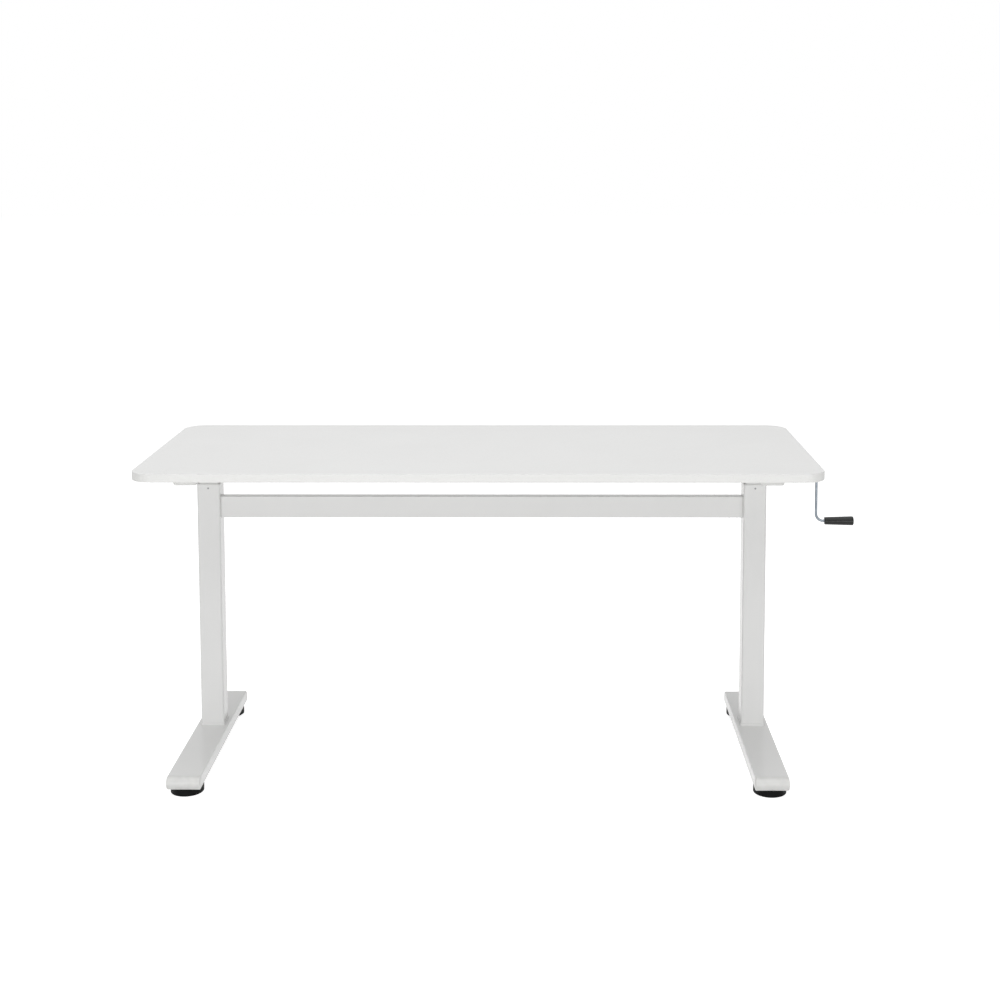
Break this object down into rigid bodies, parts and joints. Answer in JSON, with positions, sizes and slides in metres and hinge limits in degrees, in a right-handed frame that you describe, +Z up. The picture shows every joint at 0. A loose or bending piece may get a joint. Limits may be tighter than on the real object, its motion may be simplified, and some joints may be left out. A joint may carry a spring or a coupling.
{
  "type": "standing desk",
  "caption": "Height adjustable standing desk with a rounded board, two telescoping columns on T feet, a crossbar and a hand crank.",
  "frame": {"origin": "middle of the whole object's footprint, on the floor; the middle of the desktop lies 58.5 mm to its left and 20.5 mm behind it, because the crank and the feet stick out", "axes": "+X to the sitter's right, towards the crank; +Y away from the sitter; +Z up"},
  "size_m": [1.617, 0.641, 0.7],
  "materials": {
    "desktop_laminate": "white melamine-coated board, fine matt texture",
    "frame_paint": "white powder coat, satin",
    "foot_cap_plastic": "moulded plastic, satin, coloured as the frame",
    "sleeve_plastic": "acetal, natural white, matt",
    "black_plastic": "acetal, matt black",
    "glide_rubber": "moulded black plastic, matt",
    "zinc_steel": "zinc plated",
    "black_steel": "black oxide",
    "bare_steel": "drawn steel, lightly oiled",
    "gear_steel": "sintered steel, greased",
    "housing_alloy": "die cast",
    "nut_bronze": "machined bronze",
    "crank_steel": "blued steel rod",
    "grip_plastic": "moulded black plastic, semi gloss"
  },
  "bodies": {
    "base": {"left_foot": "frame_paint", "right_foot": "frame_paint", "foot_end_caps": "foot_cap_plastic", "left_base_flange": "frame_paint", "right_base_flange": "frame_paint", "column_blocks": "bare_steel", "column_bolts": "zinc_steel", "left_outer_column": "frame_paint", "right_outer_column": "frame_paint", "left_guide_sleeve": "sleeve_plastic", "right_guide_sleeve": "sleeve_plastic", "guide_pegs": "black_plastic", "crossbar": "frame_paint", "crossbar_spigots": "bare_steel", "crossbar_screws": "zinc_steel", "nut_posts": "bare_steel", "drive_nuts": "nut_bronze", "glide_inserts": "zinc_steel"},
    "lift": {"desktop": "desktop_laminate", "left_inner_column": "frame_paint", "right_inner_column": "frame_paint", "left_head_plate": "frame_paint", "right_head_plate": "frame_paint", "left_front_arm": "frame_paint", "left_rear_arm": "frame_paint", "right_front_arm": "frame_paint", "right_rear_arm": "frame_paint", "arm_end_caps": "foot_cap_plastic", "desktop_screws": "black_steel", "left_gear_housing": "housing_alloy", "right_gear_housing": "housing_alloy", "left_housing_cover": "housing_alloy", "right_housing_cover": "housing_alloy", "housing_bolts": "zinc_steel", "housing_screws": "black_steel", "shaft_bushes": "black_plastic", "screw_bearings": "bare_steel", "lower_sliders": "black_plastic"},
    "crank": {"drive_rod": "bare_steel", "left_drive_gear": "gear_steel", "right_drive_gear": "gear_steel", "shaft_coupler": "bare_steel", "crank_rod": "crank_steel", "grip_retainer": "zinc_steel"},
    "grip": {"crank_grip": "grip_plastic", "grip_cap": "grip_plastic"},
    "left_screw": {"left_lift_screw": "bare_steel", "left_screw_gear": "gear_steel"},
    "right_screw": {"right_lift_screw": "bare_steel", "right_screw_gear": "gear_steel"},
    "left_front_glide": {"left_front_glide_pad": "glide_rubber", "left_front_glide_stud": "zinc_steel"},
    "left_rear_glide": {"left_rear_glide_pad": "glide_rubber", "left_rear_glide_stud": "zinc_steel"},
    "right_front_glide": {"right_front_glide_pad": "glide_rubber", "right_front_glide_stud": "zinc_steel"},
    "right_rear_glide": {"right_rear_glide_pad": "glide_rubber", "right_rear_glide_stud": "zinc_steel"}
  },
  "joints": [
    {"name": "lift_slide", "type": "slide", "parent": "base", "child": "lift", "axis": [0, 0, 1], "range_m": [0, 0.48]},
    {"name": "crank_turn", "type": "hinge", "parent": "lift", "child": "crank", "pos_m": [0.7212, 0.0205, 0.645], "axis": [1, 0, 0], "range_deg": [-21600, 0]},
    {"name": "grip_spin", "type": "hinge", "parent": "crank", "child": "grip", "pos_m": [0.7745, 0.0205, 0.527], "axis": [1, 0, 0], "continuous": true},
    {"name": "left_screw_turn", "type": "hinge", "parent": "lift", "child": "left_screw", "pos_m": [-0.6925, 0.0205, 0.612], "axis": [0, 0, 1], "range_deg": [0, 21600]},
    {"name": "right_screw_turn", "type": "hinge", "parent": "lift", "child": "right_screw", "pos_m": [0.5755, 0.0205, 0.612], "axis": [0, 0, 1], "range_deg": [0, 21600]},
    {"name": "left_front_glide_level", "type": "slide", "parent": "base", "child": "left_front_glide", "axis": [0, 0, -1], "range_m": [0, 0.008]},
    {"name": "left_rear_glide_level", "type": "slide", "parent": "base", "child": "left_rear_glide", "axis": [0, 0, -1], "range_m": [0, 0.008]},
    {"name": "right_front_glide_level", "type": "slide", "parent": "base", "child": "right_front_glide", "axis": [0, 0, -1], "range_m": [0, 0.008]},
    {"name": "right_rear_glide_level", "type": "slide", "parent": "base", "child": "right_rear_glide", "axis": [0, 0, -1], "range_m": [0, 0.008]}
  ],
  "couplings": [
    {"joint": "crank_turn", "follows": "lift_slide", "rad_per_m": -785.4},
    {"joint": "left_screw_turn", "follows": "lift_slide", "rad_per_m": 785.4},
    {"joint": "right_screw_turn", "follows": "lift_slide", "rad_per_m": 785.4}
  ]
}
